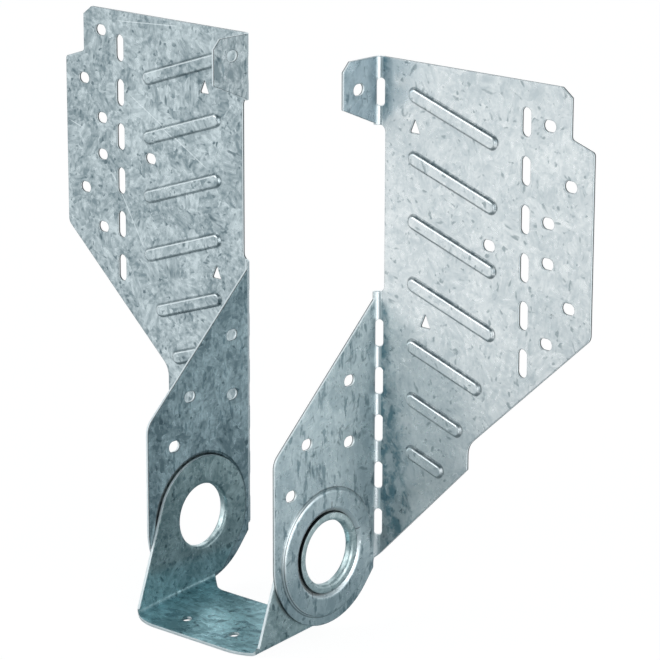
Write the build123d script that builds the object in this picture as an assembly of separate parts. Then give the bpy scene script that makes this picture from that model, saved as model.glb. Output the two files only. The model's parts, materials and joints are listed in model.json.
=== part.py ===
from build123d import *
import math
import os

# A sloped rafter hanger in galvanised sheet, in millimetres. Two folded brackets are
# nailed to a header board, and a folded seat stirrup swings between them on two eyelets
# rolled out of its own ears.
# X runs along the header with 0 midway between the brackets. Y is 0 on the back faces of
# the flanges, and the rafter lies towards -Y. Z is 0 on the axis of the eyelets.

# Sheets and folds
bracket_sheet = 1.2
stirrup_sheet = 1.2
bracket_bend = 1.8
stirrup_bend = 1.8
rafter_gap = 65.0
header_to_pivot = 29.7
top_above_pivot = 186.7

# Flange outline: half widths from the middle, depths below the top edge
top_chamfer_width = 4.5
top_chamfer_depth = 3.4
shoulder_half_width = 124.0
shoulder_depth = 18.4
wing_width = 10.4
flange_side_depth = 90.5
waist_half_width = 78.0
waist_below_slots = 31.5
waist_length = 9.4
shoulder_radius = 1.5
flange_corner_radius = 4.0
waist_radius = 8.0
foot_below_pivot = 10.0

# Gap in the fold between the tab and the side plate
fold_gap_top_depth = 25.8
fold_gap_bottom_depth = 90.0
fold_gap_reach = 3.0
fold_gap_radius = 2.6

# Tab at the top of the fold: reaches are from the header, depths below the top edge
tab_reach = 20.9
tab_chamfer = 3.6
tab_front_depth = 17.7
tab_hole_reach = 12.7
tab_hole_depth = 11.1

# Side plate
plate_reach_past_pivot = 28.7
plate_corner_height = 42.0
plate_corner_radius = 7.0

# Slots in a row beside the nail holes
slot_length = 11.0
slot_width = 4.5
slot_to_nails = 10.6
slot_first_depth = 14.9
slot_pitch = 18.0
slot_count = 6

# Nail holes
nail_hole_length = 6.0
nail_hole_width = 4.5
nail_edge_margin = 10.1
nail_column_spacing = 10.0
nail_top_depth = 14.9
nail_next_depth = 35.6
nail_pitch = 15.0
nail_row_count = 5
lone_nail_to_slots = 16.7
lone_nail_depth = 63.4
left_nail_rise = 6.0
plate_nail_back_reach = 17.2
plate_nail_middle_reach = 40.8
plate_nail_front_reach = 49.5
plate_nail_heights = (65.0, 40.9, 45.1, 26.9)
left_plate_nail_shift = 5.3
left_plate_nail_rise = 4.2
left_tab_hole_shift = 1.8
left_tab_hole_rise = 3.7

# Triangular holes for a first fixing
triangle_width = 5.5
triangle_height = 6.0
triangle_round = 0.5
triangle_near_column = 51.0
triangle_far_column = 57.0
triangle_upper_depth = 23.9
triangle_lower_depth = 97.3

# Perforations through the fold
fold_slot_length = 10.8
fold_slot_width = 3.0
fold_slot_offset = 0.5
tab_fold_slot_depth = 13.4
fold_slot_first_height = 80.5
fold_slot_pitch = 18.8
fold_slot_count = 5

# Raised ribs across the flange
rib_width = 5.7
rib_rise = 1.0
rib_taper = 35.0
rib_slope = 18.4
rib_inner_end = 48.4
rib_to_slots = 13.3
rib_first_depth = 11.7
rib_pitch = 24.0
long_rib_count = 4
short_rib_to_slots = 19.4
short_rib_step = 8.9
short_rib_pitch = 20.9
short_rib_count = 3
punch_mark_radius = 0.8
punch_mark_depth = 0.5
punch_mark_margin = 17.4
punch_mark_from_top = 84.7

# Raised ring round the eyelet, and the sunk seat inside it
boss_radius = 25.3
boss_rise = 1.3
boss_slope = 1.2
dish_radius = 18.0
dish_slope = 1.8
boss_bend = 0.2

# Rolled eyelet of the stirrup
eyelet_bore_radius = 12.6
collar_bend = 0.1
lip_reach = 3.2
running_clearance = 0.08
face_clearance = 0.1
eyelet_patch_inset = 2.0

# Seat stirrup, in its own level position
rest_tilt = 5.1
ear_radius = 24.0
ear_front_slope = 24.6
seat_below_pivot = 29.0
seat_front = 42.8
seat_front_corner = 18.9
seat_front_setback = 4.5
seat_back = 3.8
seat_back_corner = 22.5
seat_back_radius = 8.0
ear_foot_back = 5.0
seat_hole_radius = 2.0
seat_hole_spacing = 25.0
seat_hole_reach = 31.5

# Places that follow from the sizes above
flange_half_width = shoulder_half_width + wing_width
nail_outer_column = flange_half_width - nail_edge_margin
nail_inner_column = nail_outer_column - nail_column_spacing
slot_column = nail_inner_column - slot_to_nails
lone_nail_column = slot_column - lone_nail_to_slots
rib_outer_end = slot_column - rib_to_slots
short_rib_outer_end = slot_column - short_rib_to_slots
waist_depth = slot_first_depth + (slot_count - 1) * slot_pitch + slot_length / 2 + waist_below_slots
punch_mark_column = flange_half_width - punch_mark_margin
plate_inner_x = rafter_gap / 2
plate_outer_x = plate_inner_x + bracket_sheet
fold_end = bracket_bend + bracket_sheet
side_plate_top = top_above_pivot - fold_gap_bottom_depth
pivot_axis = Axis((0, -header_to_pivot, 0), (1, 0, 0))

# How far cuts and blanks run past what they shape, and when two places count as one
through = 10.0
margin = 1.0
roomy = 200.0
nearly = 0.01

# Sketch planes: the flange seen from the rafter's side, and the side plate
flange_plane = Plane(origin=(0, 0, top_above_pivot), x_dir=(1, 0, 0), z_dir=(0, -1, 0))
side_plane = Plane(origin=(0, 0, 0), x_dir=(0, 1, 0), z_dir=(1, 0, 0))


def sheet_section(points, inside_bend, thickness):
    """Section of a folded sheet whose middle line runs through the points."""
    return trace(FilletPolyline(*points, radius=inside_bend + thickness / 2), thickness)


def near_corners(shape, x, y):
    """Corners of a sketch at a place in its plane."""
    return [v for v in shape.vertices() if abs(v.X - x) < nearly and abs(v.Y - y) < nearly]


def flange_prism():
    foot_depth = top_above_pivot + foot_below_pivot
    slope = math.tan(math.radians(rib_slope))
    outer_depth = shoulder_depth + slope * wing_width
    waist_end = waist_depth + waist_length
    outline = Polygon(
        (plate_inner_x, 0),
        (shoulder_half_width - top_chamfer_width, 0),
        (shoulder_half_width, -top_chamfer_depth),
        (shoulder_half_width, -shoulder_depth),
        (flange_half_width, -outer_depth),
        (flange_half_width, -flange_side_depth),
        (waist_half_width, -waist_depth),
        (waist_half_width, -waist_end),
        (plate_inner_x, -foot_depth),
        align=None,
    )
    outline = fillet(near_corners(outline, shoulder_half_width, -shoulder_depth), shoulder_radius)
    outline = fillet(near_corners(outline, flange_half_width, -outer_depth), shoulder_radius)
    outline = fillet(near_corners(outline, flange_half_width, -flange_side_depth), flange_corner_radius)
    outline = fillet(near_corners(outline, waist_half_width, -waist_depth), waist_radius)
    gap_width = bracket_sheet + fold_gap_reach
    gap_height = fold_gap_bottom_depth - fold_gap_top_depth
    gap_middle = -(fold_gap_top_depth + fold_gap_bottom_depth) / 2
    gap = Pos(plate_inner_x, gap_middle) * RectangleRounded(2 * gap_width, gap_height, fold_gap_radius)
    return extrude(flange_plane * (outline - gap), fold_end, dir=(0, -1, 0))


def tangent_foot(centre, radius, outside):
    """Point where the lower tangent from a point outside a circle touches it."""
    across = outside[0] - centre[0]
    down = outside[1] - centre[1]
    distance = math.hypot(across, down)
    bearing = math.atan2(down, across) - math.acos(radius / distance)
    return (centre[0] + radius * math.cos(bearing), centre[1] + radius * math.sin(bearing))


def side_prism():
    front = -(header_to_pivot + plate_reach_past_pivot)
    pivot = (-header_to_pivot, 0)
    foot = (-fold_end, -foot_below_pivot - fold_end)
    plate = Polygon(
        (-fold_end, side_plate_top - fold_end),
        (front, plate_corner_height),
        (front, 0),
        pivot,
        tangent_foot(pivot, plate_reach_past_pivot, foot),
        foot,
        align=None,
    )
    plate = fillet(near_corners(plate, front, plate_corner_height), plate_corner_radius)
    plate += Pos(*pivot) * Circle(plate_reach_past_pivot)
    tab = Polygon(
        (-fold_end, top_above_pivot),
        (-tab_reach + tab_chamfer, top_above_pivot),
        (-tab_reach, top_above_pivot - tab_chamfer),
        (-tab_reach, top_above_pivot - tab_front_depth),
        (-fold_end, top_above_pivot - fold_gap_top_depth + bracket_sheet / 2),
        align=None,
    )
    return extrude(side_plane * (plate + tab), plate_outer_x + margin, dir=(1, 0, 0))


def folded_blank():
    """The right-hand bracket before its holes, ribs and eyelet seat are made."""
    middle = bracket_sheet / 2
    front = -(header_to_pivot + plate_reach_past_pivot + margin)
    fold = (plate_inner_x + middle, -middle)
    section = sheet_section(
        [(flange_half_width + margin, -middle), fold, (fold[0], front)],
        bracket_bend,
        bracket_sheet,
    )
    height = top_above_pivot + header_to_pivot + plate_reach_past_pivot
    folded = extrude(Pos(0, 0, -height + top_above_pivot) * section, height)
    return folded & (flange_prism() + side_prism())


def flange_hole(shape, x, depth):
    return extrude(flange_plane * (Pos(x, -depth) * shape), through, both=True)


def plate_hole(shape, reach, height):
    spot = side_plane * (Pos(-reach, height) * shape)
    return extrude(Pos(plate_inner_x, 0, 0) * spot, through, both=True)


def fold_hole(height):
    """An upright slot cut through the fold, square to the bend and a little to its flange side."""
    fold_plane = Plane(origin=(plate_inner_x, 0, height), x_dir=(1, 1, 0), z_dir=(1, -1, 0))
    slot = Pos(fold_slot_offset, 0) * SlotOverall(fold_slot_length, fold_slot_width, rotation=90)
    return extrude(fold_plane * slot, through, both=True)


def triangle():
    half = triangle_height / 2
    shape = Polygon(
        (-triangle_width / 2, -half),
        (triangle_width / 2, -half),
        (0, half),
        align=None,
    )
    return fillet(shape.vertices(), triangle_round)


def bracket_holes(nail_rise, plate_shift, plate_rise, tab_shift, tab_rise, triangle_columns):
    nail = SlotOverall(nail_hole_length, nail_hole_width)
    slot = SlotOverall(slot_length, slot_width, rotation=90)
    holes = [flange_hole(slot, slot_column, slot_first_depth + k * slot_pitch) for k in range(slot_count)]
    holes.append(flange_hole(nail, nail_inner_column, nail_top_depth - nail_rise))
    for k in range(nail_row_count):
        column = nail_outer_column if k % 3 == 0 else nail_inner_column
        holes.append(flange_hole(nail, column, nail_next_depth + k * nail_pitch - nail_rise))
    holes.append(flange_hole(nail, lone_nail_column, lone_nail_depth - nail_rise))
    for column, depth in zip(triangle_columns, (triangle_upper_depth, triangle_lower_depth)):
        holes.append(flange_hole(triangle(), column, depth))
    reaches = (
        plate_nail_back_reach,
        plate_nail_back_reach,
        plate_nail_middle_reach,
        plate_nail_front_reach,
    )
    for reach, height in zip(reaches, plate_nail_heights):
        holes.append(plate_hole(nail, reach - plate_shift, height + plate_rise))
    tab_height = top_above_pivot - tab_hole_depth + tab_rise
    holes.append(plate_hole(nail, tab_hole_reach - tab_shift, tab_height))
    holes.append(fold_hole(top_above_pivot - tab_fold_slot_depth))
    holes += [fold_hole(fold_slot_first_height - k * fold_slot_pitch) for k in range(fold_slot_count)]
    return holes


def rib(inner_depth, outer_end):
    """A rib pressed up from the flange, as a raised skin and the hollow behind it."""
    slope = math.radians(rib_slope)
    length = (outer_end - rib_inner_end) / math.cos(slope)
    centre_x = (rib_inner_end + outer_end) / 2
    centre_depth = inner_depth + (centre_x - rib_inner_end) * math.tan(slope)
    hollow_inset = bracket_sheet * math.tan(math.radians((90 - rib_taper) / 2))
    place = Pos(centre_x, -centre_depth) * Rot(0, 0, -rib_slope)
    crown = place * SlotOverall(length, rib_width)
    hollow = place * SlotOverall(length - 2 * hollow_inset, rib_width - 2 * hollow_inset)
    front = flange_plane.offset(bracket_sheet)
    raised = extrude(front * crown, rib_rise, taper=rib_taper)
    sunk = extrude(flange_plane * hollow, rib_rise, taper=rib_taper)
    return raised, sunk


def add_ribs(bracket):
    ribs = [rib(rib_first_depth + k * rib_pitch, rib_outer_end) for k in range(long_rib_count)]
    short_first_depth = rib_first_depth + long_rib_count * rib_pitch
    for k in range(short_rib_count):
        ribs.append(rib(short_first_depth + k * short_rib_pitch, short_rib_outer_end - k * short_rib_step))
    for crown, hollow in ribs:
        bracket = bracket + crown - hollow
    return bracket


def eyelet_section(points, inside_bend, thickness):
    """Ring round the right-hand eyelet: points are given as X and radius from its axis."""
    section = sheet_section(points, inside_bend, thickness)
    ring_plane = Plane(origin=(0, -header_to_pivot, 0), x_dir=(1, 0, 0), z_dir=(0, -1, 0))
    return revolve(ring_plane * section, pivot_axis, 360)


def eyelet_seat():
    """The raised ring and sunk annulus that the rolled eyelet turns in."""
    flat = plate_inner_x + bracket_sheet / 2
    raised = flat + boss_rise
    hole = eyelet_bore_radius + stirrup_sheet + running_clearance
    return eyelet_section(
        [
            (flat, boss_radius + bracket_sheet),
            (flat, boss_radius),
            (raised, boss_radius - boss_slope),
            (raised, dish_radius),
            (flat, dish_radius - dish_slope),
            (flat, hole),
        ],
        boss_bend,
        bracket_sheet,
    )


def right_hand_bracket(holes):
    bracket = add_ribs(folded_blank())
    for hole in holes:
        bracket -= hole
    disc = Cylinder(boss_radius + bracket_sheet, 2 * through, rotation=(0, 90, 0))
    bracket -= Pos(plate_inner_x, -header_to_pivot, 0) * disc
    return bracket + eyelet_seat()


def right_bracket():
    holes = bracket_holes(0, 0, 0, 0, 0, (triangle_near_column, triangle_far_column))
    mark = Cylinder(punch_mark_radius, 2 * punch_mark_depth, rotation=(90, 0, 0))
    mark_height = top_above_pivot - punch_mark_from_top
    holes.append(Pos(punch_mark_column, -bracket_sheet, mark_height) * mark)
    return right_hand_bracket(holes)


def left_bracket():
    holes = bracket_holes(
        left_nail_rise,
        left_plate_nail_shift,
        left_plate_nail_rise,
        left_tab_hole_shift,
        left_tab_hole_rise,
        (triangle_far_column, triangle_near_column),
    )
    return mirror(right_hand_bracket(holes), about=Plane.YZ)


def ear_prism():
    """Side view of the stirrup: round heads over straight edges that meet the seat."""
    pivot = (-header_to_pivot, 0)
    lean = math.radians(ear_front_slope)
    front_tangent = (pivot[0] - ear_radius * math.cos(lean), ear_radius * math.sin(lean))
    foot = -(seat_below_pivot + margin)
    front_foot = front_tangent[0] - (front_tangent[1] - foot) * math.tan(lean)
    back_foot = (pivot[0] + ear_foot_back, -seat_below_pivot)
    distance = math.hypot(ear_foot_back, seat_below_pivot)
    bearing = math.atan2(-seat_below_pivot, ear_foot_back) + math.acos(ear_radius / distance)
    back_tangent = (pivot[0] + ear_radius * math.cos(bearing), ear_radius * math.sin(bearing))
    outline = Polygon(
        front_tangent,
        (front_foot, foot),
        (back_foot[0], foot),
        back_foot,
        back_tangent,
        align=None,
    )
    outline += Pos(*pivot) * Circle(ear_radius)
    half_width = plate_inner_x
    return extrude(side_plane * outline, half_width, both=True)


def seat_prism():
    """Plan of the seat: a bowed front corner each side and a waisted back edge."""
    half = plate_inner_x - face_clearance
    front = -(header_to_pivot + seat_front)
    side_front = front + seat_front_setback
    back = -(header_to_pivot + seat_back)
    side_back = -header_to_pivot + ear_foot_back
    corner = math.hypot(half - seat_front_corner, seat_front_setback)
    bow = corner**2 / (2 * seat_front_setback)
    edge = [
        Line((-half, side_back), (-half, side_front)),
        RadiusArc((-half, side_front), (-seat_front_corner, front), -bow),
        Line((-seat_front_corner, front), (seat_front_corner, front)),
        RadiusArc((seat_front_corner, front), (half, side_front), -bow),
        Line((half, side_front), (half, side_back)),
        Line((half, side_back), (seat_back_corner, back)),
        Line((seat_back_corner, back), (-seat_back_corner, back)),
        Line((-seat_back_corner, back), (-half, side_back)),
    ]
    plan = make_face(edge)
    plan = fillet(near_corners(plan, seat_back_corner, back), seat_back_radius)
    plan = fillet(near_corners(plan, -seat_back_corner, back), seat_back_radius)
    for side in (-1, 1):
        for_hole = Pos(side * seat_hole_spacing / 2, -header_to_pivot - seat_hole_reach)
        plan -= for_hole * Circle(seat_hole_radius)
    floor = -seat_below_pivot - margin
    return extrude(Pos(0, 0, floor) * plan, stirrup_sheet + stirrup_bend + margin, dir=(0, 0, 1))


def stirrup_eyelet():
    """One rolled eyelet: the ear turns out through the bracket and over its sunk seat."""
    ear_middle = plate_inner_x - face_clearance - stirrup_sheet / 2
    lip_middle = plate_outer_x + face_clearance + stirrup_sheet / 2
    collar_middle = eyelet_bore_radius + stirrup_sheet / 2
    return eyelet_section(
        [
            (ear_middle, ear_radius - eyelet_patch_inset),
            (ear_middle, collar_middle),
            (lip_middle, collar_middle),
            (lip_middle, eyelet_bore_radius + lip_reach),
        ],
        collar_bend,
        stirrup_sheet,
    )


def seat_stirrup():
    half = plate_inner_x - face_clearance - stirrup_sheet / 2
    floor = -seat_below_pivot + stirrup_sheet / 2
    above = ear_radius + margin
    section = sheet_section(
        [(-half, above), (-half, floor), (half, floor), (half, above)],
        stirrup_bend,
        stirrup_sheet,
    )
    upright = Plane(origin=(0, -header_to_pivot, 0), x_dir=(1, 0, 0), z_dir=(0, -1, 0))
    reach = seat_front + margin
    folded = extrude(upright * section, reach, both=True)
    bend_top = floor + stirrup_sheet / 2 + stirrup_bend
    over_seat = Pos(0, -header_to_pivot, bend_top + roomy / 2) * Box(roomy, roomy, roomy)
    ears = folded & ear_prism() & over_seat
    seat = folded & seat_prism()
    stirrup = ears + seat
    eyelet = stirrup_eyelet()
    disc = Cylinder(ear_radius - eyelet_patch_inset, 2 * through, rotation=(0, 90, 0))
    for side in (-1, 1):
        stirrup -= Pos(side * plate_inner_x, -header_to_pivot, 0) * disc
    stirrup = stirrup + eyelet + mirror(eyelet, about=Plane.YZ)
    return stirrup.rotate(pivot_axis, rest_tilt)


os.makedirs("parts", exist_ok=True)
export_step(left_bracket(), "parts/left_bracket.step")
export_step(right_bracket(), "parts/right_bracket.step")
export_step(seat_stirrup(), "parts/seat_stirrup.step")
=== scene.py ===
import json
import math
from collections import namedtuple
from types import SimpleNamespace

import bpy
from mathutils import Matrix, Vector


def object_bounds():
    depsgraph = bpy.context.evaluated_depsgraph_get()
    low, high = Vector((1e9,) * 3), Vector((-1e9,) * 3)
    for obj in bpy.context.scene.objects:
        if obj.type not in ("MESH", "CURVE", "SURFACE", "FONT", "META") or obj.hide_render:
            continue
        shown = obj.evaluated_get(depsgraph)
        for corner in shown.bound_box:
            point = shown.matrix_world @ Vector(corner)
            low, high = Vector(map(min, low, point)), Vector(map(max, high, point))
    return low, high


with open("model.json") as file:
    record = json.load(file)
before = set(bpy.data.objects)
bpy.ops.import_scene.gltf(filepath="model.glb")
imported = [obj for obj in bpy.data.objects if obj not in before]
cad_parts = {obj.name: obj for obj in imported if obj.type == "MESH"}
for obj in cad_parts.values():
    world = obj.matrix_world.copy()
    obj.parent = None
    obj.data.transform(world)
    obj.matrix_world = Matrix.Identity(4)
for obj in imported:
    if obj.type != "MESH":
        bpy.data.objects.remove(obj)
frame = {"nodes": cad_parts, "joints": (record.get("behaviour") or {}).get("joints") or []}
cad_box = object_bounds()

MM = 0.001
FULL_TURN = 2 * math.pi

# The photograph's camera
VIEW_AZIMUTH = 42.04
VIEW_ELEVATION = 15.53
VIEW_ROLL = 0.145
VIEW_DISTANCE = 1305.7 * MM
VIEW_AIM = Vector((9.15, -1.05, 76.80)) * MM
FOCAL_PIXELS = 3407.0
IMAGE_PIXELS = 660
SENSOR_MM = 36.0
CLIP_START = 50 * MM
CLIP_END = 20000 * MM

# Sizes of the hanger that its finish follows. X is measured from the middle, to either side.
SHEET = 1.2 * MM
FOLD_X = 35.5 * MM
FOLD_Y = 3.0 * MM
PLATE_INNER_X = 32.5 * MM
PLATE_OUTER_X = 33.7 * MM
PLATE_TOP_Z = 97.0 * MM
TAB_FOOT_Z = 161.0 * MM
EAR_X = 31.0 * MM

# The eyelet, which turns on the joints' axis, and the raised ring round it
PIVOT_Y = frame["joints"][0]["pos_m"][1]
COLLAR_RADIUS = 14.6 * MM
LIP_RADIUS = 15.8 * MM
CREVICE_RADIUS = 16.4 * MM
CREVICE_X = 34.3 * MM
SEAT_WALL_RADIUS = 17.2 * MM
SEAT_WALL_REACH = 1.6 * MM
RING_CROWN_RADIUS = 24.1 * MM
RING_ROOT_RADIUS = 25.4 * MM

# Crimps pressed into the eyelet's seat: angle round the pivot from +Y, and the radii they span in mm
CRIMPS = ((86.0, 18.0, 19.8), (19.0, 16.4, 18.2), (-122.0, 15.8, 17.6))
CRIMP_HALF_WIDTH = 0.3 * MM

# Ribs across a flange, which fall outwards from one column: four long ones, then three that shorten
RIB_SLOPE = math.radians(18.4)
RIB_INNER_X = 48.4 * MM
RIB_FIRST_Z = 175.0 * MM
RIB_HALF_WIDTH = 2.85 * MM
CROWN_HALF_WIDTH = 2.15 * MM
CROWN_Y = -2.0 * MM
CROWN_ROLL_WIDTH = 0.45 * MM
CROWN_ROLL_HEIGHT = 0.16 * MM
LONG_RIB_COUNT = 4
LONG_RIB_PITCH = 24.0 * MM
LONG_RIB_REACH = 42.0 * MM
SHORT_RIB_COUNT = 3
SHORT_RIB_PITCH = 20.9 * MM
SHORT_RIB_REACH = 35.9 * MM
SHORT_RIB_STEP = 8.9 * MM


def direction(azimuth, elevation):
    """Unit vector from the object towards a place seen at this azimuth and elevation."""
    a = math.radians(azimuth)
    e = math.radians(elevation)
    return Vector((math.sin(a) * math.cos(e), -math.cos(a) * math.cos(e), math.sin(e)))


def axes_facing(back, roll=0.0):
    """Rotation whose local Z is back and whose local X is level, turned by roll degrees."""
    right = Vector((0, 0, 1)).cross(back).normalized()
    up = back.cross(right)
    turn = math.radians(roll)
    right_rolled = right * math.cos(turn) + up * math.sin(turn)
    up_rolled = up * math.cos(turn) - right * math.sin(turn)
    return Matrix((right_rolled, up_rolled, back)).transposed().to_4x4()


def add_camera():
    """Camera at the photograph's viewing angle."""
    back = direction(VIEW_AZIMUTH, VIEW_ELEVATION)
    data = bpy.data.cameras.new("camera")
    data.sensor_width = SENSOR_MM
    data.lens = FOCAL_PIXELS / IMAGE_PIXELS * SENSOR_MM
    data.clip_start = CLIP_START
    data.clip_end = CLIP_END
    camera = bpy.data.objects.new("camera", data)
    bpy.context.scene.collection.objects.link(camera)
    place = Matrix.Translation(VIEW_AIM + back * VIEW_DISTANCE)
    camera.matrix_world = place @ axes_facing(back, VIEW_ROLL)
    bpy.context.scene.camera = camera


# Node helpers

# A noise: its scale per metre, detail, roughness, how each axis is stretched, and how far it swings the tone
Pattern = namedtuple("Pattern", "scale detail roughness stretch swing", defaults=(3.0, 0.55, None, 0.0))

# Share of a band's reach where its mask is full
BAND_CORE = 0.4


class Nodes:
    """Short calls that add and link shader nodes in one tree."""

    def __init__(self, tree):
        self.tree = tree
        tree.nodes.clear()

    def add(self, kind, **settings):
        node = self.tree.nodes.new(kind)
        for name, value in settings.items():
            setattr(node, name, value)
        return node

    def set(self, socket, value):
        """Link a socket to another, or give it a plain value."""
        if isinstance(value, bpy.types.NodeSocket):
            self.tree.links.new(value, socket)
        else:
            socket.default_value = value

    def math(self, operation, a, b=0.0, clamp=False):
        node = self.add("ShaderNodeMath", operation=operation, use_clamp=clamp)
        self.set(node.inputs[0], a)
        self.set(node.inputs[1], b)
        return node.outputs[0]

    def size(self, value):
        """A value without its sign."""
        return self.math("ABSOLUTE", value)

    def minus(self, a, b):
        return self.math("SUBTRACT", a, b)

    def times(self, a, b):
        return self.math("MULTIPLY", a, b)

    def total(self, *terms):
        result = terms[0]
        for term in terms[1:]:
            result = self.math("ADD", result, term)
        return result

    def distance(self, a, b):
        """Length of a line that runs this far along two axes."""
        return self.math("SQRT", self.total(self.math("POWER", a, 2.0), self.math("POWER", b, 2.0)))

    def along_and_aside(self, a, b, run_a, run_b):
        """A place on two axes, as its lengths along a direction and to the side of it."""
        along = self.total(self.times(a, run_a), self.times(b, run_b))
        aside = self.total(self.times(a, -run_b), self.times(b, run_a))
        return along, aside

    def both(self, *masks):
        """Where every mask holds."""
        result = masks[0]
        for mask in masks[1:]:
            result = self.times(result, mask)
        return result

    def either(self, *masks):
        """Where any mask holds."""
        result = masks[0]
        for mask in masks[1:]:
            result = self.math("MAXIMUM", result, mask)
        return result

    def without(self, mask):
        """Where a mask doesn't hold."""
        return self.minus(1.0, mask)

    def around(self, value, amount):
        """A value that varies about a half, as a change about nothing."""
        return self.times(self.minus(value, 0.5), amount)

    def ramp(self, value, low, high, to_low=0.0, to_high=1.0):
        """Smooth step of a value between two thresholds."""
        node = self.add("ShaderNodeMapRange", interpolation_type="SMOOTHSTEP")
        self.set(node.inputs["Value"], value)
        self.set(node.inputs["From Min"], low)
        self.set(node.inputs["From Max"], high)
        self.set(node.inputs["To Min"], to_low)
        self.set(node.inputs["To Max"], to_high)
        return node.outputs["Result"]

    def past(self, value, place, blur=0.1 * MM):
        """Mask of where a length is more than another."""
        return self.ramp(value, place - blur, place + blur)

    def near(self, value, middle, reach):
        """Mask of a band either side of a middle value."""
        return self.ramp(self.size(self.minus(value, middle)), reach, reach * BAND_CORE)

    def row(self, value, pitch, count):
        """Number of the nearest row of a pattern, from 0 to its last."""
        nearest = self.math("ROUND", self.math("DIVIDE", value, pitch))
        return self.math("MINIMUM", self.math("MAXIMUM", nearest, 0.0), count - 1.0)

    def choose(self, mask, off, on):
        """One value where a mask is 0 and another where it is 1."""
        return self.total(self.times(self.without(mask), off), self.times(mask, on))

    def mix(self, factor, a, b, blend="MIX"):
        """One colour changed into another, or multiplied by it, as far as the factor says."""
        node = self.add("ShaderNodeMix", data_type="RGBA", blend_type=blend)
        self.set(node.inputs["Factor"], factor)
        # The colour sockets come after those for numbers and vectors
        self.set(node.inputs[6], a)
        self.set(node.inputs[7], b)
        return node.outputs[2]

    def split(self, vector):
        node = self.add("ShaderNodeSeparateXYZ")
        self.set(node.inputs[0], vector)
        return node.outputs

    def join(self, x, y, z):
        node = self.add("ShaderNodeCombineXYZ")
        for socket, value in zip(node.inputs, (x, y, z)):
            self.set(socket, value)
        return node.outputs[0]

    def vector(self, operation, a, b=(0, 0, 0), scale=None):
        node = self.add("ShaderNodeVectorMath", operation=operation)
        self.set(node.inputs[0], a)
        self.set(node.inputs[1], b)
        if scale is not None:
            self.set(node.inputs["Scale"], scale)
        return node.outputs["Value" if operation == "DOT_PRODUCT" else "Vector"]

    def noise(self, place, pattern, output="Fac"):
        """Noise of a pattern, stretched along the axes whose share is under 1."""
        if pattern.stretch is not None:
            place = self.vector("MULTIPLY", place, pattern.stretch)
        node = self.add("ShaderNodeTexNoise")
        self.set(node.inputs["Vector"], place)
        node.inputs["Scale"].default_value = pattern.scale
        node.inputs["Detail"].default_value = pattern.detail
        node.inputs["Roughness"].default_value = pattern.roughness
        return node.outputs[output]

    def cells(self, place, scale):
        """A colour of its own for each cell of a scattered pattern."""
        node = self.add("ShaderNodeTexVoronoi")
        self.set(node.inputs["Vector"], place)
        node.inputs["Scale"].default_value = scale
        return node.outputs["Color"]

    def turned(self, place, angles):
        node = self.add("ShaderNodeVectorRotate", rotation_type="EULER_XYZ")
        self.set(node.inputs["Vector"], place)
        self.set(node.inputs["Rotation"], angles)
        return node.outputs[0]


def colour(red, green, blue):
    """A display colour, 0 to 255, as the linear colour that a shader takes."""
    values = [c / 255 for c in (red, green, blue)]
    linear = [v / 12.92 if v <= 0.04045 else ((v + 0.055) / 1.055) ** 2.4 for v in values]
    return (*linear, 1.0)


# What a sheet shows, as masks from 0 to 1

# Size of one part of the normal, where a cut edge starts to show and where it shows in full
CUT_EDGE = (0.4, 0.2)
FOLD_END = (0.8, 0.9)
SEAT_FRONT_EDGE = (0.7, 0.85)

# Painted shade at the back of the cut edges, and along the whole edge at the plate's foot
FLANGE_BACK_EDGE_Y = (-0.75 * MM, -0.50 * MM)
PLATE_BACK_EDGE_X = (PLATE_INNER_X + 0.50 * MM, PLATE_INNER_X + 0.30 * MM)
PLATE_FOOT_Z = (-6 * MM, -14 * MM)
BACK_EDGE_SHADE = 0.85

# Shadow under the eyelet's lip, which is weaker low down
LIP_SHADOW_START = LIP_RADIUS - 1.0 * MM
LIP_SHADOW_END = (CREVICE_RADIUS, LIP_RADIUS + 0.3 * MM)
LIP_SHADOW_X = (CREVICE_X + 0.3 * MM, CREVICE_X)
LIP_SHADOW_Z = (-12 * MM, 2 * MM)
LIP_SHADOW_LOW = 0.5

# Ring round the eyelet: painted highlight on its slope at the front, painted shade at its root and in a
# crease halfway, and in the crimps; and the sunk seat, whose wall takes a painted highlight
RING_ROOT_REACH = 0.35 * MM
RING_ROOT_DARKNESS = 0.4
RING_BLUR = 0.2 * MM
RING_FRONT_Y = (PIVOT_Y - 4 * MM, PIVOT_Y - 14 * MM)
CREASE_REACH = 0.22 * MM
CREASE_DARKNESS = 0.65
CRIMP_DARKNESS = 0.7
SEAT_WALL_NORMAL = (0.97, 0.9)

# The stirrup's lip, whose edge takes painted shade, weaker at the back; its ears' insides and its seat, both
# darkened as painted shade, the insides more so low down
BEYOND_EAR_X = EAR_X + 2.3 * MM
LIP_EDGE_NORMAL = (0.6, 0.4)
LIP_EDGE_Y = (PIVOT_Y + 12 * MM, PIVOT_Y - 6 * MM)
LIP_EDGE_BACK = 0.35
SEAT_NORMAL = (0.4, 0.7)
SEAT_STREAKS = 1.5
EAR_INSIDE_NORMAL = (-0.4, -0.8)
EAR_LOW_Z = (-14 * MM, -20 * MM)
EAR_LOW_SHADE = 0.6

# Painted shade on the strip beside the fold
FOLD_SHADE_TOP_WIDTH = 4.0 * MM
FOLD_SHADE_FOOT_WIDTH = 22.0 * MM
FOLD_SHADE_FULL_SHARE = 0.35
FOLD_SHADE_FADE = 8 * MM
FOLD_SHADE_TAB_WIDTH = 6.5 * MM
FOLD_SHADE_TAB_BLUR = 4 * MM
FOLD_SHADE_START_X = FOLD_X - 0.6 * MM
FOLD_SHADE_Y = (FOLD_Y, FOLD_Y - 0.5 * MM)
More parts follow.
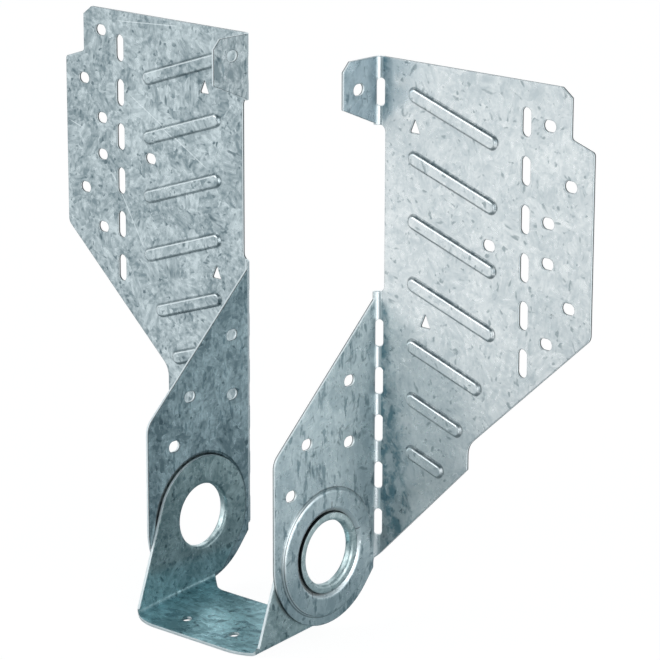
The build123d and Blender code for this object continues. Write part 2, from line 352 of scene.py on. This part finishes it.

# Rib's painted shade on its upper slope and lower edge, and painted highlight on its upper edge: distance
# from its middle line, and reach
RIB_FRONT_Y = (-SHEET + 0.15 * MM, -SHEET)
RIB_MIDDLE = (0.4 * MM, -0.4 * MM)
RIB_SLOPE_BAND = (RIB_HALF_WIDTH - 0.1 * MM, 0.75 * MM)
RIB_FOOT_BAND = (RIB_HALF_WIDTH - 0.3 * MM, 0.55 * MM)
RIB_EDGE_BAND = (CROWN_HALF_WIDTH - 0.2 * MM, 0.35 * MM)
CROWN_BLUR = 0.1 * MM

# Length at each end of a scratch over which it fades, in mm
SCRATCH_FADE = 3

# Tints that a sheet's zinc is multiplied by: painted shade darkens the plates, the right tab, the stirrup's
# seat and its ears' insides, painted light brightens the left tab, and the rest of the stirrup takes a plain
# tint
PLAIN = (1, 1, 1, 1)
PLATE_SHADE_TINT = (0.82, 0.92, 0.95, 1)
LEFT_TAB_LIGHT_TINT = (1.40, 1.34, 1.32, 1)
RIGHT_TAB_SHADE_TINT = (0.66, 0.78, 0.85, 1)
SEAT_SHADE_TINT = (0.60, 0.90, 0.97, 1)
EAR_TINT = (0.90, 0.99, 1.0, 1)
INSIDE_SHADE_TINT = (0.58, 0.69, 0.71, 1)


def look_here(n, coordinates):
    """Coordinates of the point that is shaded, its normal, and its distance from the eyelets' axis."""
    x, y, z = n.split(coordinates.outputs["Object"])
    normal_x, normal_y, normal_z = n.split(coordinates.outputs["Normal"])
    return SimpleNamespace(
        x=x,
        y=y,
        z=z,
        to_side=n.size(x),
        normal_x=normal_x,
        across_x=n.size(normal_x),
        across_y=n.size(normal_y),
        across_z=n.size(normal_z),
        radius=n.distance(n.minus(y, PIVOT_Y), z),
    )


def scratch(n, here, start, end, width):
    """Mask of a fine straight scratch on a flange, from X and Z of its ends and its width in mm."""
    run = Vector(end) - Vector(start)
    unit = run.normalized()
    middle = (Vector(start) + Vector(end)) / 2 * MM
    along, aside = n.along_and_aside(n.minus(here.x, middle.x), n.minus(here.z, middle.y), unit.x, unit.y)
    inside = n.ramp(n.size(along), run.length / 2 * MM, (run.length / 2 - SCRATCH_FADE) * MM)
    line = n.ramp(n.size(aside), width * MM, width / 3 * MM)
    return n.both(inside, line)


def crimp(n, here, angle, start, end):
    """Mask of a short radial crimp beside the eyelet."""
    turn = math.radians(angle)
    out, aside = n.along_and_aside(n.minus(here.y, PIVOT_Y), here.z, math.cos(turn), math.sin(turn))
    within = n.near(out, (start + end) / 2 * MM, (end - start) * MM)
    return n.both(within, n.near(aside, 0.0, CRIMP_HALF_WIDTH))


def fold_shade(n, here, raggedness):
    """Mask of painted shade on the strip beside the fold, wide at the foot and narrow towards the top."""
    across = n.minus(here.to_side, FOLD_X)
    width = n.ramp(here.z, PLATE_TOP_Z, 0.0, FOLD_SHADE_TOP_WIDTH, FOLD_SHADE_FOOT_WIDTH)
    ragged_width = n.times(width, n.total(raggedness, 0.5))
    beside_plate = n.both(
        n.ramp(n.math("DIVIDE", across, ragged_width), 1.0, FOLD_SHADE_FULL_SHARE),
        n.ramp(here.z, PLATE_TOP_Z, PLATE_TOP_Z - FOLD_SHADE_FADE),
    )
    beside_tab = n.both(n.ramp(across, FOLD_SHADE_TAB_WIDTH, 0.0), n.past(here.z, TAB_FOOT_Z, FOLD_SHADE_TAB_BLUR))
    on_flange = n.both(n.past(here.to_side, FOLD_SHADE_START_X), n.ramp(n.size(here.y), *FOLD_SHADE_Y))
    return n.both(on_flange, n.either(beside_plate, beside_tab))


def rib_place(n, here):
    """Distance from the middle line of the nearest rib, and how far below that line."""
    out = n.minus(here.to_side, RIB_INNER_X)
    below = n.minus(n.minus(RIB_FIRST_Z, here.z), n.times(out, math.tan(RIB_SLOPE)))
    past_long = n.minus(below, LONG_RIB_COUNT * LONG_RIB_PITCH)
    short = n.math("GREATER_THAN", past_long, -LONG_RIB_PITCH / 2)
    long_row = n.row(below, LONG_RIB_PITCH, LONG_RIB_COUNT)
    short_row = n.row(past_long, SHORT_RIB_PITCH, SHORT_RIB_COUNT)
    below_long = n.minus(below, n.times(long_row, LONG_RIB_PITCH))
    below_short = n.minus(past_long, n.times(short_row, SHORT_RIB_PITCH))
    down = n.choose(short, below_long, below_short)

    short_reach = n.minus(SHORT_RIB_REACH, n.times(short_row, SHORT_RIB_STEP))
    half_length = n.times(n.choose(short, LONG_RIB_REACH, short_reach), 0.5 / math.cos(RIB_SLOPE))
    from_middle = n.minus(n.math("DIVIDE", out, math.cos(RIB_SLOPE)), half_length)
    along = n.size(n.total(from_middle, n.times(down, math.sin(RIB_SLOPE))))
    beyond = n.math("MAXIMUM", n.minus(along, n.minus(half_length, RIB_HALF_WIDTH)), 0.0)
    return n.distance(beyond, n.times(down, math.cos(RIB_SLOPE))), down


def rib_marks(n, here):
    """A rib's painted shade on its upper slope and lower edge, painted highlight on its upper edge, and the
    height of its rolled crown.
    """
    distance, down = rib_place(n, here)
    front = n.both(n.past(here.to_side, FOLD_X), n.ramp(here.y, *RIB_FRONT_Y))
    above = n.ramp(down, *RIB_MIDDLE)
    crown = n.both(front, n.ramp(here.y, CROWN_Y, CROWN_Y - CROWN_BLUR))
    rolled = n.ramp(distance, CROWN_HALF_WIDTH, CROWN_HALF_WIDTH - CROWN_ROLL_WIDTH, 0.0, CROWN_ROLL_HEIGHT)
    return SimpleNamespace(
        slope=n.both(front, above, n.near(distance, *RIB_SLOPE_BAND)),
        foot=n.both(front, n.without(above), n.near(distance, *RIB_FOOT_BAND)),
        edge=n.both(crown, above, n.near(distance, *RIB_EDGE_BAND)),
        height=n.both(crown, rolled),
    )


NO_RIBS = SimpleNamespace(slope=0.0, foot=0.0, edge=0.0, height=0.0)


def bracket_marks(n, here):
    """A bracket's cut edges, painted shade in its crevices, painted highlights on its fold, seat wall and
    ring, streaked plate, tint with painted light and shade, and ribs.
    """
    flange = n.past(here.to_side, FOLD_X)
    off_flange = n.without(flange)
    plate = n.both(off_flange, n.past(n.size(here.y), FOLD_Y))
    fold = n.both(off_flange, n.without(plate))

    flange_edge = n.both(flange, n.ramp(here.across_y, *CUT_EDGE))
    plate_edge = n.both(plate, n.ramp(here.across_x, *CUT_EDGE))
    fold_end = n.both(fold, n.ramp(here.across_z, *FOLD_END))
    foot = n.ramp(here.z, *PLATE_FOOT_Z)
    # Painted shade at the back of the cut edges and along the plate's foot
    back_edge_shade = n.either(
        n.both(flange_edge, n.ramp(here.y, *FLANGE_BACK_EDGE_Y)),
        n.both(plate_edge, n.ramp(here.to_side, *PLATE_BACK_EDGE_X)),
        n.both(plate_edge, foot),
    )

    under_lip = n.both(
        n.past(here.radius, LIP_SHADOW_START),
        n.ramp(here.radius, *LIP_SHADOW_END),
        n.ramp(here.to_side, *LIP_SHADOW_X),
        n.ramp(here.z, *LIP_SHADOW_Z, LIP_SHADOW_LOW, 1.0),
    )
    ring_root = n.both(n.near(here.radius, RING_ROOT_RADIUS, RING_ROOT_REACH), off_flange)
    ring_slope = n.both(
        off_flange,
        n.ramp(here.y, *RING_FRONT_Y),
        n.past(here.radius, RING_CROWN_RADIUS, RING_BLUR),
        n.ramp(here.radius, RING_ROOT_RADIUS, RING_ROOT_RADIUS - RING_BLUR),
    )
    crease = n.both(ring_slope, n.near(here.radius, (RING_CROWN_RADIUS + RING_ROOT_RADIUS) / 2, CREASE_REACH))
    outside = n.past(here.to_side, PLATE_OUTER_X)
    crimps = n.both(n.either(*(crimp(n, here, *shape) for shape in CRIMPS)), outside)
    seat_wall = n.both(
        n.near(here.radius, SEAT_WALL_RADIUS, SEAT_WALL_REACH),
        outside,
        n.ramp(here.across_x, *SEAT_WALL_NORMAL),
    )

    # Plates and the right tab darkened, the left tab lightened: painted light and shade
    tab = n.both(plate, n.past(here.z, TAB_FOOT_Z))
    tab_light_and_shade = n.mix(n.past(here.x, 0.0), LEFT_TAB_LIGHT_TINT, RIGHT_TAB_SHADE_TINT)
    return SimpleNamespace(
        sheared=n.either(flange_edge, n.both(plate_edge, n.without(foot)), fold_end),
        # Painted shade under the eyelet's lip, at the ring's root, in its crease and crimps, and at the back
        # of the cut edges
        painted_shade=n.either(
            under_lip,
            n.times(ring_root, RING_ROOT_DARKNESS),
            n.times(crease, CREASE_DARKNESS),
            n.times(crimps, CRIMP_DARKNESS),
            n.times(back_edge_shade, BACK_EDGE_SHADE),
        ),
        # Painted highlight: the fold painted lighter, and the seat's wall and the front of the ring's slope
        painted_highlight=n.either(fold, seat_wall, ring_slope),
        streaked=plate,
        tint_and_painted_light=n.mix(tab, n.mix(plate, PLAIN, PLATE_SHADE_TINT), tab_light_and_shade),
        rib=rib_marks(n, here),
    )


def stirrup_marks(n, here):
    """The stirrup's cut edges, painted shade at the edge of its lip, streaked seat and ears, and tint with
    painted shade on its seat and its ears' insides.
    """
    outside_collar = n.past(here.radius, COLLAR_RADIUS)
    ear = n.past(here.to_side, EAR_X)
    sheared = n.either(
        n.both(ear, outside_collar, n.ramp(here.across_x, *CUT_EDGE)),
        n.both(n.without(ear), n.ramp(here.across_y, *SEAT_FRONT_EDGE)),
    )
    beyond_ear = n.past(here.to_side, BEYOND_EAR_X)
    lip_edge = n.both(beyond_ear, outside_collar, n.ramp(here.across_x, *LIP_EDGE_NORMAL))
    seat = n.both(n.ramp(here.across_z, *SEAT_NORMAL), n.without(ear))
    ear_inside = n.ramp(n.times(here.normal_x, n.math("SIGN", here.x)), *EAR_INSIDE_NORMAL)
    ear_low_shade = n.both(ear_inside, n.ramp(here.z, *EAR_LOW_Z, 0.0, EAR_LOW_SHADE))
    return SimpleNamespace(
        sheared=n.both(sheared, n.without(lip_edge)),
        # Painted shade at the edge of the lip, stronger at the front
        painted_shade=n.both(lip_edge, n.ramp(here.y, *LIP_EDGE_Y, LIP_EDGE_BACK, 1.0)),
        painted_highlight=0.0,
        streaked=n.either(n.times(seat, SEAT_STREAKS), ear_inside),
        # Seat and ears' insides darkened as painted shade, the insides more so low down
        tint_and_painted_light=n.mix(n.either(seat, ear_low_shade), n.mix(ear_inside, EAR_TINT, INSIDE_SHADE_TINT), SEAT_SHADE_TINT),
        rib=NO_RIBS,
    )


# Hot-dip zinc

# Patterns of the coat
WARP = Pattern(190.0, detail=2.0)
WARP_REACH = 8 * MM
CRYSTAL_SCALE = 135.0
CRYSTAL_SWING = 0.85
FEATHER = Pattern(560.0, roughness=0.6, stretch=(1.0, 0.22, 1.0), swing=4.0)
STROKES = Pattern(330.0, detail=2.0, roughness=0.5, stretch=(1.0, 0.4, 1.0), swing=2.2)
SPOTS = Pattern(450.0, detail=1.5, roughness=0.5, stretch=(1.0, 0.34, 1.0))
CLOUDS = Pattern(34.0, swing=0.8)
MOTTLE = Pattern(290.0, detail=4.0, roughness=0.6, swing=1.1)
PATCHES = Pattern(210.0, stretch=(1.0, 1.0, 0.6))
STREAKS = Pattern(340.0, roughness=0.6, swing=2.0)
DRIFTS = Pattern(110.0, detail=2.0, swing=1.6)

# Which way the streaks of a sheet run
UPRIGHT = (1.0, 1.0, 0.38)
ALONG_SEAT = (0.4, 1.0, 1.0)

# Shift of the patterns from one sheet to the next, for each unit of its seed
SEED_SHIFT = (1.0, 0.7, 1.3)

# Where a pattern starts to show and where it shows in full
SPOT_RANGE = (0.61, 0.74)
DARK_STREAK_RANGE = (0.54, 0.67)
MOTTLED = (0.38, 0.62)
CORNER_RANGE = (0.08, 0.2)

# Colours of the marks, and how strongly each is laid on: near-white bare steel, also used as painted
# highlight, near-black painted shade, painted shade along the rims and beside the fold, and dark streaks
BARE_STEEL_AND_HIGHLIGHT = colour(238, 243, 244)
SHADED = colour(20, 26, 29)
RIM_SHADE = colour(70, 88, 95)
TEAL_FOLD_SHADE = (0.20, 0.33, 0.38, 1)
DARK_STREAK = (0.42, 0.49, 0.52, 1)
SPOT_STRENGTH = 0.8
FOLD_SHADE_THIN = 0.4
FOLD_SHADE_RAGGEDNESS = 1.6
SCRATCH_STRENGTH = 0.6
RIM_SHADE_STRENGTH = 0.7
RIB_SHADE_SHARE = 0.6
EDGE_AND_HIGHLIGHT_STRENGTH = 0.85
PAINTED_HIGHLIGHT_STRENGTH = 0.7

# Rounding of edges, relief and gloss
ROUNDED_EDGE = 0.5 * MM
ROUNDING_SAMPLES = 4
RELIEF_STRENGTH = 0.3
RELIEF_DEPTH = 0.1 * MM
MOTTLE_RELIEF = 1.0
FEATHER_RELIEF = 0.6
METALLIC = 0.78
SHEARED_METALLIC = 0.4
FEATHER_GLOSS = (0.3, 0.7)
ROUGHNESS = 0.38
CRYSTAL_ROUGHNESS = 0.26
MARK_ROUGHNESS = 0.5

# One sheet's coat: its colours, which way its streaks run, how strong its crystals are, its scratches,
# whether it takes painted shade beside the fold, the strength of the painted shade on its ribs, and the
# rounding of its edges
Finish = namedtuple(
    "Finish",
    "light dark fleck streak_run spangle seed scratches stained rib_wear rounding",
    defaults=((), False, 0.0, ROUNDED_EDGE),
)


def coat_patterns(n, place, finish):
    """Patterns of the coat, each about a half: crystals turned their own way, clouds and streaks."""
    moved = n.vector("ADD", place, tuple(finish.seed * share for share in SEED_SHIFT))
    warp = n.vector("SUBTRACT", n.noise(moved, WARP, "Color"), (0.5, 0.5, 0.5))
    bent = n.vector("ADD", moved, n.vector("SCALE", warp, scale=WARP_REACH))
    crystal = n.cells(bent, CRYSTAL_SCALE)
    lay = n.turned(moved, n.vector("SCALE", crystal, scale=FULL_TURN))
    return SimpleNamespace(
        crystal=n.split(crystal)[0],
        feather=n.noise(lay, FEATHER),
        strokes=n.noise(lay, STROKES),
        spots=n.noise(lay, SPOTS),
        clouds=n.noise(moved, CLOUDS),
        mottle=n.noise(bent, MOTTLE),
        patches=n.noise(bent, PATCHES),
        streaks=n.noise(moved, STREAKS._replace(stretch=finish.streak_run)),
        drifts=n.noise(bent, DRIFTS._replace(stretch=finish.streak_run)),
    )


def coat_tone(n, coat, spangle, streaked):
    """Tone of the bare coat, from its dark colour at 0 to its light colour at 1."""
    streaks = n.total(n.around(coat.streaks, STREAKS.swing), n.around(coat.drifts, DRIFTS.swing))
    tone = n.total(
        0.5,
        n.around(coat.clouds, CLOUDS.swing),
        n.around(coat.crystal, spangle * CRYSTAL_SWING),
        n.around(coat.feather, spangle * FEATHER.swing),
        n.around(coat.strokes, spangle * STROKES.swing),
        n.around(coat.mottle, MOTTLE.swing),
        n.times(streaks, streaked),
    )
    return n.math("ADD", tone, 0.0, clamp=True)


def coat_colour(n, here, coat, marks, corner, finish):
    """Colour of the coat with its flecks, streaks, painted shade beside the fold, scratches, tint, painted
    shade on rims and ribs and in crevices, bright cut edges and painted highlights.
    """
    base = n.mix(coat_tone(n, coat, finish.spangle, marks.streaked), finish.dark, finish.light)
    base = n.mix(n.ramp(coat.spots, *SPOT_RANGE, 0.0, SPOT_STRENGTH), base, finish.fleck)
    dark_streaks = n.both(n.ramp(coat.streaks, *DARK_STREAK_RANGE), marks.streaked)
    base = n.mix(dark_streaks, base, DARK_STREAK, "MULTIPLY")
    # Painted shade on the flange beside the fold, in patches
    if finish.stained:
        raggedness = n.total(n.around(coat.feather, FOLD_SHADE_RAGGEDNESS), coat.clouds)
        patches = n.ramp(coat.patches, *MOTTLED, FOLD_SHADE_THIN, 1.0)
        base = n.mix(n.both(fold_shade(n, here, raggedness), patches), base, TEAL_FOLD_SHADE, "MULTIPLY")
    for start, end, width in finish.scratches:
        base = n.mix(n.times(scratch(n, here, start, end, width), SCRATCH_STRENGTH), base, BARE_STEEL_AND_HIGHLIGHT)
    # Tint, with painted light and shade
    base = n.mix(1.0, base, marks.tint_and_painted_light, "MULTIPLY")

    # Cut edges: bare steel lightened to near white, partly a painted highlight; the ribs' upper edges:
    # painted highlight
    edge_metal_and_highlight = n.either(marks.sheared, marks.rib.edge)
    # Painted shade along the rounded edges
    rim_shade = n.both(n.ramp(corner, *CORNER_RANGE), n.without(edge_metal_and_highlight))
    # Painted shade on the ribs' upper slopes, in patches, and along their lower edges
    rib_slope_shade = n.ramp(coat.mottle, *MOTTLED, finish.rib_wear, finish.rib_wear * RIB_SHADE_SHARE)
    painted_shade_on_rims_and_ribs = n.either(
        n.times(rim_shade, RIM_SHADE_STRENGTH),
        n.both(marks.rib.slope, rib_slope_shade),
        n.times(marks.rib.foot, finish.rib_wear * RIB_SHADE_SHARE),
    )
    base = n.mix(painted_shade_on_rims_and_ribs, base, RIM_SHADE)
    base = n.mix(n.times(edge_metal_and_highlight, EDGE_AND_HIGHLIGHT_STRENGTH), base, BARE_STEEL_AND_HIGHLIGHT)
    # Painted highlight on the fold, the seat's wall and the front of the ring's slope
    base = n.mix(n.times(marks.painted_highlight, PAINTED_HIGHLIGHT_STRENGTH), base, BARE_STEEL_AND_HIGHLIGHT)
    # Painted shade in the crevices and at the back of the cut edges
    return n.mix(marks.painted_shade, base, SHADED)


def coat_relief(n, coat, smooth_normal, rib_height):
    """Normal with the coat's fine relief and the ribs' rolled crowns."""
    fine = n.add("ShaderNodeBump")
    fine.inputs["Strength"].default_value = RELIEF_STRENGTH
    fine.inputs["Distance"].default_value = RELIEF_DEPTH
    height = n.total(n.around(coat.mottle, MOTTLE_RELIEF), n.around(coat.feather, FEATHER_RELIEF))
    n.set(fine.inputs["Height"], height)
    n.set(fine.inputs["Normal"], smooth_normal)
    rolled = n.add("ShaderNodeBump")
    rolled.inputs["Distance"].default_value = 1.0
    n.set(rolled.inputs["Height"], rib_height)
    n.set(rolled.inputs["Normal"], fine.outputs["Normal"])
    return rolled.outputs["Normal"]


def zinc(name, find_marks, finish):
    """Material of one hot-dip galvanised sheet."""
    material = bpy.data.materials.new(name)
    material.use_nodes = True
    n = Nodes(material.node_tree)
    coordinates = n.add("ShaderNodeTexCoord")
    here = look_here(n, coordinates)
    coat = coat_patterns(n, coordinates.outputs["Object"], finish)
    marks = find_marks(n, here)

    rounded = n.add("ShaderNodeBevel", samples=ROUNDING_SAMPLES)
    rounded.inputs["Radius"].default_value = finish.rounding
    smooth_normal = rounded.outputs["Normal"]
    flat_normal = n.add("ShaderNodeNewGeometry").outputs["True Normal"]
    corner = n.without(n.vector("DOT_PRODUCT", smooth_normal, flat_normal))

    shader = n.add("ShaderNodeBsdfPrincipled")
    n.set(shader.inputs["Base Color"], coat_colour(n, here, coat, marks, corner, finish))
    n.set(shader.inputs["Metallic"], n.ramp(marks.sheared, 0.0, 1.0, METALLIC, SHEARED_METALLIC))
    roughness = n.ramp(coat.feather, *FEATHER_GLOSS, ROUGHNESS, CRYSTAL_ROUGHNESS)
    mark_roughness = n.times(n.either(marks.sheared, marks.painted_shade), MARK_ROUGHNESS)
    n.set(shader.inputs["Roughness"], n.either(roughness, mark_roughness))
    n.set(shader.inputs["Normal"], coat_relief(n, coat, smooth_normal, marks.rib.height))
    output = n.add("ShaderNodeOutputMaterial")
    n.set(output.inputs["Surface"], shader.outputs["BSDF"])
    return material


def dress(node, material):
    """Give a sheet of the hanger its material."""
    slots = frame["nodes"][node].data.materials
    slots.clear()
    slots.append(material)


# Studio

FLOOR_DROP = 0.3 * MM
FLOOR_SIZE = 6.0
FLOOR_COLOUR = (0.8, 0.8, 0.8, 1)
FLOOR_WHITE = (1.06, 1.06, 1.06, 1)
FLOOR_GLOW_SHARE = 0.9
WORLD_WHITE = (1, 1, 1, 1)
STUDIO_CENTRE = Vector((0, -0.03, 0.08))
STUDIO_DIM = (0.10, 0.17, 0.20)
LAMP_AIM = Vector((0.03, 0, 0.06))

# Soft boxes: azimuth, elevation, half angle where full, half angle where it ends, strength
SOFT_BOXES = (
    (-48, -12, 28, 46, 0.97),
    (88, 4, 28, 46, 1.45),
    (54, -18, 14, 30, 0.60),
    (140, -12, 20, 50, 0.30),
    (-140, 18, 24, 48, 0.85),
    (-29, 30, 12, 24, 2.60),
    (-72, 47, 10, 26, 0.90),
)


def studio_light(n, towards):
    """Brightness that the studio sends back from a direction."""
    parts = []
    for azimuth, elevation, full, end, strength in SOFT_BOXES:
        facing = n.vector("DOT_PRODUCT", towards, tuple(direction(azimuth, elevation)))
        inner = math.cos(math.radians(full))
        outer = math.cos(math.radians(end))
        parts.append(n.ramp(facing, outer, inner, 0.0, strength))
    level = n.total(*parts)
    return n.vector("ADD", n.join(level, level, level), STUDIO_DIM)


def floor_material():
    """Pale floor that takes a shadow, looks white to the camera and sends the studio's light to the metal."""
    material = bpy.data.materials.new("pale_floor")
    material.use_nodes = True
    n = Nodes(material.node_tree)
    rays = n.add("ShaderNodeLightPath")
    place = n.add("ShaderNodeTexCoord").outputs["Object"]
    towards = n.vector("NORMALIZE", n.vector("SUBTRACT", place, tuple(STUDIO_CENTRE)))
    plain = n.either(rays.outputs["Is Camera Ray"], rays.outputs["Is Transmission Ray"])
    seen = n.either(plain, rays.outputs["Is Glossy Ray"])
    diffuse = n.add("ShaderNodeBsdfDiffuse")
    diffuse.inputs["Color"].default_value = FLOOR_COLOUR
    glow = n.add("ShaderNodeEmission")
    n.set(glow.inputs["Color"], n.mix(plain, studio_light(n, towards), FLOOR_WHITE))
    glow.inputs["Strength"].default_value = 1.0
    blend = n.add("ShaderNodeMixShader")
    n.set(blend.inputs[0], n.times(seen, FLOOR_GLOW_SHARE))
    n.set(blend.inputs[1], diffuse.outputs[0])
    n.set(blend.inputs[2], glow.outputs[0])
    output = n.add("ShaderNodeOutputMaterial")
    n.set(output.inputs["Surface"], blend.outputs[0])
    return material


def add_floor():
    """Floor just below the hanger."""
    half = FLOOR_SIZE / 2
    height = cad_box[0][2] - FLOOR_DROP
    mesh = bpy.data.meshes.new("floor")
    corners = [(-half, -half, height), (half, -half, height), (half, half, height), (-half, half, height)]
    mesh.from_pydata(corners, [], [(0, 1, 2, 3)])
    mesh.materials.append(floor_material())
    floor = bpy.data.objects.new("floor", mesh)
    bpy.context.scene.collection.objects.link(floor)


def add_world():
    """White behind the object, and soft boxes that light it."""
    world = bpy.data.worlds.new("studio")
    world.use_nodes = True
    bpy.context.scene.world = world
    n = Nodes(world.node_tree)
    rays = n.add("ShaderNodeLightPath")
    towards = n.add("ShaderNodeTexCoord").outputs["Generated"]
    background = n.add("ShaderNodeBackground")
    light = n.mix(rays.outputs["Is Camera Ray"], studio_light(n, towards), WORLD_WHITE)
    n.set(background.inputs["Color"], light)
    background.inputs["Strength"].default_value = 1.0
    output = n.add("ShaderNodeOutputWorld")
    n.set(output.inputs["Surface"], background.outputs[0])


def add_lamp(name, azimuth, elevation, distance, size, power):
    """Area lamp that faces the hanger from an angle."""
    data = bpy.data.lights.new(name, "AREA")
    data.size = size
    data.energy = power
    lamp = bpy.data.objects.new(name, data)
    bpy.context.scene.collection.objects.link(lamp)
    towards = direction(azimuth, elevation)
    lamp.matrix_world = Matrix.Translation(LAMP_AIM + towards * distance) @ axes_facing(towards)


# Scratches: X and Z of the two ends and the width, in mm
LEFT_SCRATCHES = (
    ((-99.1, 154.2), (-55.0, 129.6), 0.3),
    ((-134.0, 139.0), (-123.9, 136.1), 0.3),
    ((-109.9, 121.1), (-105.6, 116.1), 0.3),
    ((-105.6, 116.1), (-90.7, 91.3), 0.3),
    ((-106.1, 182.6), (-70.6, 184.7), 0.25),
)
RIGHT_SCRATCHES = (
    ((47.7, 97.7), (55.1, 103.1), 0.3),
)

RIGHT_FINISH = Finish(
    light=colour(235, 235, 234),
    dark=colour(196, 202, 204),
    fleck=colour(146, 157, 160),
    streak_run=UPRIGHT,
    spangle=0.36,
    seed=0.3,
    scratches=RIGHT_SCRATCHES,
    stained=True,
    rib_wear=0.8,
)
# Its colours are darker than the right bracket's, partly as painted shade, since the left bracket stands
# farther from the light
LEFT_FINISH = Finish(
    light=colour(206, 214, 216),
    dark=colour(130, 144, 149),
    fleck=colour(84, 103, 110),
    streak_run=UPRIGHT,
    spangle=0.5,
    seed=1.1,
    scratches=LEFT_SCRATCHES,
    rib_wear=0.25,
)
STIRRUP_FINISH = Finish(
    light=colour(238, 240, 238),
    dark=colour(162, 175, 176),
    fleck=colour(100, 118, 122),
    streak_run=ALONG_SEAT,
    spangle=0.4,
    seed=2.4,
    rounding=0.8 * MM,
)

bpy.context.scene.view_settings.view_transform = "Standard"
add_camera()
add_world()
add_floor()
add_lamp("key", azimuth=62, elevation=20, distance=1.0, size=0.8, power=2.5)
dress("right_bracket", zinc("right_bracket_zinc", bracket_marks, RIGHT_FINISH))
dress("left_bracket", zinc("left_bracket_zinc", bracket_marks, LEFT_FINISH))
dress("seat_stirrup", zinc("stirrup_zinc", stirrup_marks, STIRRUP_FINISH))
